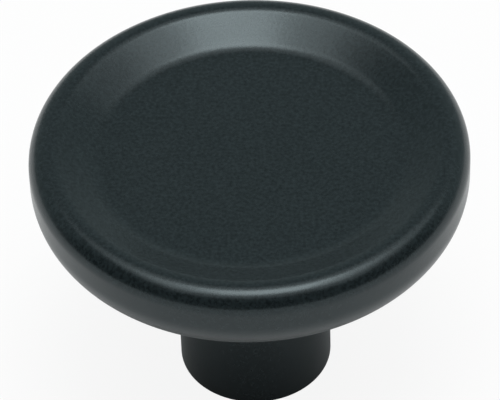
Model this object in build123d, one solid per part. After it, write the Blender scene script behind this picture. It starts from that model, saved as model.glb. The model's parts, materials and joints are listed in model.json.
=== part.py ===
from build123d import *
import os
from math import asin, atan2, hypot, radians, tan

# A round cabinet knob in one piece: a wide head with a dished face on a short plain stem.
# The origin is the centre of the foot face, and +Z runs along the axis, away from the door.
# Lengths are in millimetres and angles in degrees.

# Head
head_diameter = 32.0
projection = 22.0  # from the foot face to the crest of the rim
rim_width = 4.8  # from the outer edge to the edge of the flat dish floor
dish_depth = 1.45  # from the crest of the rim to the dish floor
dish_corner_radius = 2.5  # where the sloped band leaves the dish floor
crest_radius = 1.55  # round over the top of the rim
side_height = 1.25  # upright band between the two rounds of the rim
lower_radius = 3.4  # round under the rim
underside_slope = 34.0  # angle at which the underside falls from the rim to the stem

# Stem
stem_diameter = 11.4

# Blind hole for the fixing screw, drilled at the tapping size
tapping_diameter = 3.3
drilled_depth = 12.0  # of the full diameter, without the point of the drill
drill_point_angle = 118.0
lead_in = 0.5  # width and depth of the chamfer at the mouth

# Heights and radii that follow
head_radius = head_diameter / 2
stem_radius = stem_diameter / 2
hole_radius = tapping_diameter / 2
floor_radius = head_radius - rim_width
floor_height = projection - dish_depth
side_end_height = projection - crest_radius - side_height
rim_underside_height = side_end_height - lower_radius * tan(radians(90 - underside_slope) / 2)
neck_height = rim_underside_height - (head_radius - stem_radius) * tan(radians(underside_slope))
drill_point_height = hole_radius / tan(radians(drill_point_angle / 2))


def band_slope():
    """Slope, in radians, of the band that rises from the dish floor and runs into the crest round."""
    run = rim_width - crest_radius
    rise = dish_depth - crest_radius
    return atan2(rise, run) + asin(crest_radius / hypot(run, rise))


def corner_of(profile, place):
    """The corner of the profile that lies at the given point."""
    return profile.vertices().sort_by_distance(place)[0]


def knob_profile():
    """Half section of the knob, with X as the radius and Y as the height."""
    dish_corner = (floor_radius, floor_height)
    rim_corner = (head_radius, floor_height + rim_width * tan(band_slope()))
    lower_corner = (head_radius, rim_underside_height)
    profile = make_face(
        Polyline(
            (0, floor_height),
            dish_corner,
            rim_corner,
            lower_corner,
            (stem_radius, neck_height),
            (stem_radius, 0),
            (hole_radius + lead_in, 0),
            (hole_radius, lead_in),
            (hole_radius, drilled_depth),
            (0, drilled_depth + drill_point_height),
            close=True,
        )
    )
    profile = fillet(corner_of(profile, dish_corner), dish_corner_radius)
    profile = fillet(corner_of(profile, rim_corner), crest_radius)
    return fillet(corner_of(profile, lower_corner), lower_radius)


knob = revolve(Plane.XZ * knob_profile(), Axis.Z)

os.makedirs("parts", exist_ok=True)
export_step(knob, "parts/knob.step")
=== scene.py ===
import json
from math import asin, atan2, ceil, cos, hypot, pi, radians, sin, tan

import bpy
from mathutils import Matrix, Vector


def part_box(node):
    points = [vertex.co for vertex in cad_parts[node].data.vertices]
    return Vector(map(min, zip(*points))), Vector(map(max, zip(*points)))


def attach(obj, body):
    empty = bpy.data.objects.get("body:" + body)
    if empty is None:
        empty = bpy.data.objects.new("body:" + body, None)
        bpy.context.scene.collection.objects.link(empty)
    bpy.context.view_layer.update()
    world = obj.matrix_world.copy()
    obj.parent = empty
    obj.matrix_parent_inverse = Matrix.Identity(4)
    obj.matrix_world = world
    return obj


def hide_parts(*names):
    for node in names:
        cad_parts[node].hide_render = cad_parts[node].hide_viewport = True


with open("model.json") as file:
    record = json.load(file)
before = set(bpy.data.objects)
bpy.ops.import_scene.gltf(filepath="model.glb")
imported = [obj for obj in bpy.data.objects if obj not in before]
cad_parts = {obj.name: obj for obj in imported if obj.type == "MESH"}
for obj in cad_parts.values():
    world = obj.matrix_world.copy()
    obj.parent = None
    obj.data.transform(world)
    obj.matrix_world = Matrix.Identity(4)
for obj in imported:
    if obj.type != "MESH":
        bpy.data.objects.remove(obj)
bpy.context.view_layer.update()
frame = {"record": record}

# A black powder-coated cabinet knob, turned about +Z. Lengths are in metres.
MM = 0.001

# The half section, which the solid has too
head_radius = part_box("knob")[1][0]
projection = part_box("knob")[1][2]
rim_width = 4.8 * MM
dish_depth = 1.45 * MM
dish_corner_round = 2.5 * MM
crest_round = 1.55 * MM
side_height = 1.25 * MM
lower_round = 3.4 * MM
underside_slope = radians(34)
stem_radius = 5.7 * MM
lead_in = 0.5 * MM
drill_point_angle = radians(118)

# The tapped hole
screw_hole = next(mount for mount in frame["record"]["mounts"] if mount["name"] == "screw_hole")
hole_radius = screw_hole["dims"]["r_mm"] * MM
drilled_depth = lead_in + screw_hole["dims"]["length_mm"] * MM
thread_radius = 2.0 * MM
thread_pitch = 0.7 * MM
thread_turns = 15
thread_start = -0.5 * MM  # below the foot, so that the groove runs out at the mouth
thread_flank = radians(30)
thread_flat = thread_pitch / 8  # at the bottom of the groove
tap_core_radius = 1.5 * MM  # well inside the drilled wall

# How finely the knob is turned
spin_steps = 240
thread_steps = spin_steps // 3
arc_step = radians(3)
longest_facet = 0.6 * MM
weld_distance = 0.002 * MM
sharp_angle = radians(30)


def deselect_all():
    if bpy.context.object and bpy.context.object.mode != "OBJECT":
        bpy.ops.object.mode_set(mode="OBJECT")
    bpy.ops.object.select_all(action="DESELECT")


def at(radius, height):
    """A place on the half section."""
    return Vector((radius, 0, height))


def rounded(before, corner, after, corner_round):
    """Points along the round that takes the place of a corner between two straight lines."""
    back = (before - corner).normalized()
    on = (after - corner).normalized()
    half_angle = back.angle(on) / 2
    reach = corner_round / tan(half_angle)
    centre = corner + (back + on).normalized() * corner_round / sin(half_angle)
    first = (corner + back * reach - centre).normalized()
    last = (corner + on * reach - centre).normalized()
    steps = ceil(first.angle(last) / arc_step)
    return [centre + first.slerp(last, step / steps) * corner_round for step in range(steps + 1)]


def section_corners():
    """The half section's sharp corners between its straight lines: dish, rim, lower edge and neck."""
    run = rim_width - crest_round
    rise = dish_depth - crest_round
    band_slope = atan2(rise, run) + asin(crest_round / hypot(run, rise))
    floor_height = projection - dish_depth
    side_end = projection - crest_round - side_height
    rim_underside = side_end - lower_round * tan((pi / 2 - underside_slope) / 2)
    neck_height = rim_underside - (head_radius - stem_radius) * tan(underside_slope)
    return (
        at(head_radius - rim_width, floor_height),
        at(head_radius, floor_height + rim_width * tan(band_slope)),
        at(head_radius, rim_underside),
        at(stem_radius, neck_height),
    )


def section_outline():
    """From the centre of the dish over the rim, under the head, down the stem and up the drilled hole."""
    dish, rim, lower, neck = section_corners()
    floor_centre = at(0, dish.z)
    return [
        floor_centre,
        *rounded(floor_centre, dish, rim, dish_corner_round),
        *rounded(dish, rim, lower, crest_round),
        *rounded(rim, lower, neck, lower_round),
        neck,
        at(stem_radius, 0),
        at(hole_radius + lead_in, 0),
        at(hole_radius, lead_in),
        at(hole_radius, drilled_depth),
        at(0, drilled_depth + hole_radius / tan(drill_point_angle / 2)),
    ]


def half_section():
    """Points of the half section, with long straight stretches divided."""
    outline = section_outline()
    points = outline[:1]
    for start, end in zip(outline, outline[1:]):
        parts = ceil((end - start).length / longest_facet)
        points += [start.lerp(end, part / parts) for part in range(1, parts + 1)]
    return points


def draw_line(name, points):
    """A new object in edit mode, with a chain of edges through the points."""
    deselect_all()
    bpy.ops.mesh.primitive_plane_add(size=MM)
    drawn = bpy.context.object
    drawn.name = name
    bpy.ops.object.mode_set(mode="EDIT")
    bpy.ops.mesh.merge(type="CENTER")
    bpy.ops.transform.translate(value=points[0])
    for here, there in zip(points, points[1:]):
        bpy.ops.mesh.extrude_region_move(TRANSFORM_OT_translate={"value": there - here})
    return drawn


def weld_and_face_out():
    bpy.ops.mesh.select_all(action="SELECT")
    bpy.ops.mesh.remove_doubles(threshold=weld_distance)
    bpy.ops.mesh.normals_make_consistent(inside=False)


def turned_knob():
    """The knob's half section, spun about its axis."""
    knob = draw_line("turned_knob", half_section())
    bpy.ops.mesh.select_all(action="SELECT")
    bpy.ops.mesh.spin(steps=spin_steps, angle=2 * pi, center=(0, 0, 0), axis=(0, 0, 1))
    weld_and_face_out()
    bpy.ops.object.mode_set(mode="OBJECT")
    return knob


def tap():
    """The thread's groove as a solid ridge wound round the axis, to be cut out of the plain hole.

    It is turned by half a facet, so that its edges miss those of the hole's wall.
    """
    half_floor = thread_flat / 2
    half_root = half_floor + (thread_radius - tap_core_radius) * tan(thread_flank)
    ridge_section = [
        at(tap_core_radius, thread_start - half_root),
        at(thread_radius, thread_start - half_floor),
        at(thread_radius, thread_start + half_floor),
        at(tap_core_radius, thread_start + half_root),
    ]
    half_facet = Matrix.Rotation(pi / spin_steps, 3, "Z")
    ridge = draw_line("tap", [half_facet @ corner for corner in ridge_section])
    bpy.ops.mesh.select_all(action="SELECT")
    bpy.ops.mesh.edge_face_add()
    bpy.ops.mesh.delete(type="ONLY_FACE")
    bpy.ops.object.mode_set(mode="OBJECT")
    winding = ridge.modifiers.new("winding", "SCREW")
    winding.axis = "Z"
    winding.angle = 2 * pi
    winding.screw_offset = thread_pitch
    winding.iterations = thread_turns
    winding.steps = thread_steps
    winding.render_steps = thread_steps
    bpy.ops.object.modifier_apply(modifier=winding.name)
    bpy.ops.object.mode_set(mode="EDIT")
    bpy.ops.mesh.select_all(action="SELECT")
    bpy.ops.mesh.fill_holes(sides=len(ridge_section))
    weld_and_face_out()
    bpy.ops.object.mode_set(mode="OBJECT")
    return ridge


def cut_thread(knob):
    cutter = tap()
    deselect_all()
    bpy.context.view_layer.objects.active = knob
    knob.select_set(True)
    cut = knob.modifiers.new("thread", "BOOLEAN")
    cut.operation = "DIFFERENCE"
    cut.solver = "EXACT"
    cut.object = cutter
    bpy.ops.object.modifier_apply(modifier=cut.name)
    bpy.data.objects.remove(cutter)


def surface_grain():
    """A node group that the coat and the cut metal share: grains fixed to the object.

    It puts out the grain itself, and its middle range spread between two values.
    """
    middle_from = 0.3
    middle_to = 0.7
    group = bpy.data.node_groups.new("surface_grain", "ShaderNodeTree")
    for name in ("Grains per metre", "Detail", "Low", "High"):
        group.interface.new_socket(name, in_out="INPUT", socket_type="NodeSocketFloat")
    for name in ("Grain", "Spread"):
        group.interface.new_socket(name, in_out="OUTPUT", socket_type="NodeSocketFloat")
    nodes = group.nodes
    links = group.links
    given = nodes.new("NodeGroupInput").outputs
    result = nodes.new("NodeGroupOutput").inputs
    place = nodes.new("ShaderNodeTexCoord")
    grains = nodes.new("ShaderNodeTexNoise")
    links.new(place.outputs["Object"], grains.inputs["Vector"])
    links.new(given["Grains per metre"], grains.inputs["Scale"])
    links.new(given["Detail"], grains.inputs["Detail"])
    stretch = nodes.new("ShaderNodeMapRange")
    stretch.inputs["From Min"].default_value = middle_from
    stretch.inputs["From Max"].default_value = middle_to
    links.new(given["Low"], stretch.inputs["To Min"])
    links.new(given["High"], stretch.inputs["To Max"])
    links.new(grains.outputs["Fac"], stretch.inputs["Value"])
    links.new(grains.outputs["Fac"], result["Grain"])
    links.new(stretch.outputs["Result"], result["Spread"])
    return group


def new_material(name):
    material = bpy.data.materials.new(name)
    material.use_nodes = True
    return material, material.node_tree.nodes, material.node_tree.links


def place_grain(nodes, grain_group, size, detail=2.0, low=0.0, high=1.0):
    """The shared grain in a material, with grains of about the given size. Gives its outputs."""
    grain = nodes.new("ShaderNodeGroup")
    grain.node_tree = grain_group
    grain.inputs["Grains per metre"].default_value = 1 / size
    grain.inputs["Detail"].default_value = detail
    grain.inputs["Low"].default_value = low
    grain.inputs["High"].default_value = high
    return grain.outputs


def two_tones(nodes, links, factor, first_tone, second_tone):
    """A colour that a pattern mixes from two."""
    mix = nodes.new("ShaderNodeMix")
    mix.data_type = "RGBA"
    mix.inputs["A"].default_value = first_tone
    mix.inputs["B"].default_value = second_tone
    links.new(factor, mix.inputs["Factor"])
    return mix.outputs["Result"]


def bumps(nodes, links, layers):
    """Bump nodes in a chain, one for each (pattern, depth in metres)."""
    normal = None
    for pattern, depth in layers:
        bump = nodes.new("ShaderNodeBump")
        bump.inputs["Strength"].default_value = 1.0
        bump.inputs["Distance"].default_value = depth
        links.new(pattern, bump.inputs["Height"])
        if normal:
            links.new(normal, bump.inputs["Normal"])
        normal = bump.outputs["Normal"]
    return normal


def black_powder_coat(grain_group):
    """Satin black powder coat: a fine grain on a faint orange peel."""
    grain_size = 0.25 * MM
    grain_depth = 0.004 * MM
    peel_size = 1.1 * MM
    peel_depth = 0.004 * MM
    cloud_size = 5.0 * MM
    smoothest = 0.23
    roughest = 0.26
    dark_tone = (0.0047, 0.0073, 0.0081, 1)
    light_tone = (0.0163, 0.0232, 0.0254, 1)
    cool_gloss = (0.80, 0.96, 1.0, 1)
    resin_ior = 1.5
    material, nodes, links = new_material("black_powder_coat")
    paint = nodes["Principled BSDF"]
    grain = place_grain(nodes, grain_group, grain_size, detail=3.0)
    peel = place_grain(nodes, grain_group, peel_size, detail=1.0)
    cloud = place_grain(nodes, grain_group, cloud_size, low=smoothest, high=roughest)
    tone = two_tones(nodes, links, grain["Spread"], dark_tone, light_tone)
    normal = bumps(nodes, links, [(peel["Grain"], peel_depth), (grain["Grain"], grain_depth)])
    links.new(tone, paint.inputs["Base Color"])
    links.new(cloud["Spread"], paint.inputs["Roughness"])
    links.new(normal, paint.inputs["Normal"])
    paint.inputs["IOR"].default_value = resin_ior
    paint.inputs["Specular Tint"].default_value = cool_gloss
    return material


def bare_zinc(grain_group):
    """Cut zinc in the tapped hole, with the faint rings that the drill and the tap leave."""
    scratch_size = 0.3 * MM
    ring_gap = 0.4 * MM
    ring_wander = 1.5
    ring_depth = 0.003 * MM
    smoothest = 0.28
    roughest = 0.42
    dull_tone = (0.42, 0.43, 0.44, 1)
    bright_tone = (0.56, 0.57, 0.58, 1)
    material, nodes, links = new_material("bare_zinc")
    metal = nodes["Principled BSDF"]
    place = nodes.new("ShaderNodeTexCoord")
    rings = nodes.new("ShaderNodeTexWave")
    rings.bands_direction = "Z"
    rings.inputs["Scale"].default_value = 1 / ring_gap
    rings.inputs["Distortion"].default_value = ring_wander
    links.new(place.outputs["Object"], rings.inputs["Vector"])
    scratch = place_grain(nodes, grain_group, scratch_size, low=smoothest, high=roughest)
    tone = two_tones(nodes, links, scratch["Grain"], dull_tone, bright_tone)
    normal = bumps(nodes, links, [(rings.outputs["Fac"], ring_depth)])
    links.new(tone, metal.inputs["Base Color"])
    links.new(scratch["Spread"], metal.inputs["Roughness"])
    links.new(normal, metal.inputs["Normal"])
    metal.inputs["Metallic"].default_value = 1.0
    return material


def paint_knob(knob):
    """Powder coat all over, and bare metal where the hole was cut after coating."""
    coat_slot = 0
    zinc_slot = 1
    grain_group = surface_grain()
    knob.data.materials.clear()
    knob.data.materials.append(black_powder_coat(grain_group))
    knob.data.materials.append(bare_zinc(grain_group))
    hole_reach = hole_radius + lead_in
    hole_top = drilled_depth + hole_radius
    for face in knob.data.polygons:
        in_hole = hypot(face.center.x, face.center.y) < hole_reach and 0 < face.center.z < hole_top
        face.material_index = zinc_slot if in_hole else coat_slot


def cabinet_knob():
    knob = turned_knob()
    cut_thread(knob)
    paint_knob(knob)
    bpy.ops.object.shade_smooth_by_angle(angle=sharp_angle)
    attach(knob, "root")
    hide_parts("knob")


def white_floor_paint():
    """Matt white that the camera, and mirrored rays in part, see glow, so that its shadow stays faint."""
    matt_white = (0.92, 0.92, 0.92, 1)
    seen_glow = 0.90
    mirrored_glow = 0.08
    material, nodes, links = new_material("white_floor")
    nodes.remove(nodes["Principled BSDF"])
    matt = nodes.new("ShaderNodeBsdfDiffuse")
    matt.inputs["Color"].default_value = matt_white
    glow = nodes.new("ShaderNodeEmission")
    glow.inputs["Color"].default_value = (1, 1, 1, 1)
    path = nodes.new("ShaderNodeLightPath")
    mirrored = nodes.new("ShaderNodeMath")
    mirrored.operation = "MAXIMUM"
    links.new(path.outputs["Is Glossy Ray"], mirrored.inputs[0])
    links.new(path.outputs["Is Transmission Ray"], mirrored.inputs[1])
    seen = nodes.new("ShaderNodeMath")
    seen.operation = "MULTIPLY"
    seen.inputs[1].default_value = seen_glow
    links.new(path.outputs["Is Camera Ray"], seen.inputs[0])
    share = nodes.new("ShaderNodeMath")
    share.operation = "MULTIPLY_ADD"
    share.inputs[1].default_value = mirrored_glow
    links.new(mirrored.outputs[0], share.inputs[0])
    links.new(seen.outputs[0], share.inputs[2])
    blend = nodes.new("ShaderNodeMixShader")
    links.new(share.outputs[0], blend.inputs["Fac"])
    links.new(matt.outputs[0], blend.inputs[1])
    links.new(glow.outputs[0], blend.inputs[2])
    links.new(blend.outputs[0], nodes["Material Output"].inputs["Surface"])
    return material


def pale_floor():
    """A wide floor, a hair below the foot so that the two faces don't share a plane."""
    floor_width = 20
    gap_under_foot = 0.02 * MM
    deselect_all()
    bpy.ops.mesh.primitive_plane_add(size=floor_width, location=(0, 0, -gap_under_foot))
    floor = bpy.context.object
    floor.name = "floor"
    floor.data.materials.append(white_floor_paint())


def overhead_lamp(name, aside, half_width, half_depth, brightness):
    """A soft lamp high above the knob. Seen from there, its middle lies aside to the right by an angle."""
    height = 6.0
    lamp = bpy.data.lights.new(name, "AREA")
    lamp.shape = "RECTANGLE"
    lamp.size = 2 * height * tan(half_width)
    lamp.size_y = 2 * height * tan(half_depth)
    lamp.energy = brightness * pi * lamp.size * lamp.size_y
    holder = bpy.data.objects.new(name, lamp)
    holder.location = (height * tan(aside), 0, height)
    bpy.context.scene.collection.objects.link(holder)


def soft_box():
    """A long soft box: a bright middle in a wider, dimmer front, with some light past its edges."""
    overhead_lamp(
        "soft_box_middle", aside=radians(3), half_width=radians(12), half_depth=radians(11), brightness=6.6
    )
    overhead_lamp(
        "soft_box_front", aside=radians(3), half_width=radians(26), half_depth=radians(15), brightness=2.45
    )
    overhead_lamp(
        "soft_box_edge", aside=radians(7), half_width=radians(36), half_depth=radians(31), brightness=0.75
    )


def dim_studio():
    """A dark room with dimly lit far walls below the ceiling, brighter on the right than on the left."""
    wall_colour = (0.84, 0.99, 1.0, 1)
    left_glow = 0.29
    right_glow = 0.34
    near_share = 0.05
    room_glow = 0.03
    world = bpy.data.worlds.new("dim_studio")
    world.use_nodes = True
    nodes = world.node_tree.nodes
    links = world.node_tree.links
    nodes["Background"].inputs["Color"].default_value = wall_colour
    place = nodes.new("ShaderNodeTexCoord")
    split = nodes.new("ShaderNodeSeparateXYZ")
    links.new(place.outputs["Generated"], split.inputs["Vector"])

    def shade(axis, start, end, low, high):
        """A value that runs from low to high between two places along an axis."""
        ramp = nodes.new("ShaderNodeMapRange")
        ramp.interpolation_type = "SMOOTHSTEP"
        ramp.inputs["From Min"].default_value = start
        ramp.inputs["From Max"].default_value = end
        ramp.inputs["To Min"].default_value = low
        ramp.inputs["To Max"].default_value = high
        links.new(split.outputs[axis], ramp.inputs["Value"])
        return ramp.outputs["Result"]

    across = shade("X", start=-0.6, end=0.6, low=left_glow, high=right_glow)
    far_half = shade("Y", start=-0.1, end=0.4, low=near_share, high=1)
    below_ceiling = shade("Z", start=0.6, end=1.0, low=1, high=0)
    far_walls = nodes.new("ShaderNodeMath")
    far_walls.operation = "MULTIPLY"
    links.new(across, far_walls.inputs[0])
    links.new(far_half, far_walls.inputs[1])
    level = nodes.new("ShaderNodeMath")
    level.operation = "MULTIPLY_ADD"
    level.inputs[2].default_value = room_glow
    links.new(far_walls.outputs[0], level.inputs[0])
    links.new(below_ceiling, level.inputs[1])
    links.new(level.outputs[0], nodes["Background"].inputs["Strength"])
    bpy.context.scene.world = world


def camera():
    """A long lens that looks down on the knob from the front, rolled a little clockwise."""
    elevation = radians(45.27)
    roll = radians(2.02)
    distance = 268.7 * MM
    aim = Vector((-0.06 * MM, 0, 15.865 * MM))
    sensor_width_in_mm = 36
    focal_length_in_mm = 263.8
    nearest_seen = 0.01
    farthest_seen = 100
    lens = bpy.data.cameras.new("camera")
    lens.sensor_fit = "HORIZONTAL"
    lens.sensor_width = sensor_width_in_mm
    lens.lens = focal_length_in_mm
    lens.clip_start = nearest_seen
    lens.clip_end = farthest_seen
    seat = bpy.data.objects.new("camera", lens)
    bpy.context.scene.collection.objects.link(seat)
    seat.location = aim + distance * Vector((0, -cos(elevation), sin(elevation)))
    turn = Matrix.Rotation(pi / 2 - elevation, 3, "X") @ Matrix.Rotation(-roll, 3, "Z")
    seat.rotation_euler = turn.to_euler()
    bpy.context.scene.camera = seat


cabinet_knob()
pale_floor()
soft_box()
dim_studio()
camera()
bpy.context.scene.view_settings.view_transform = "Standard"
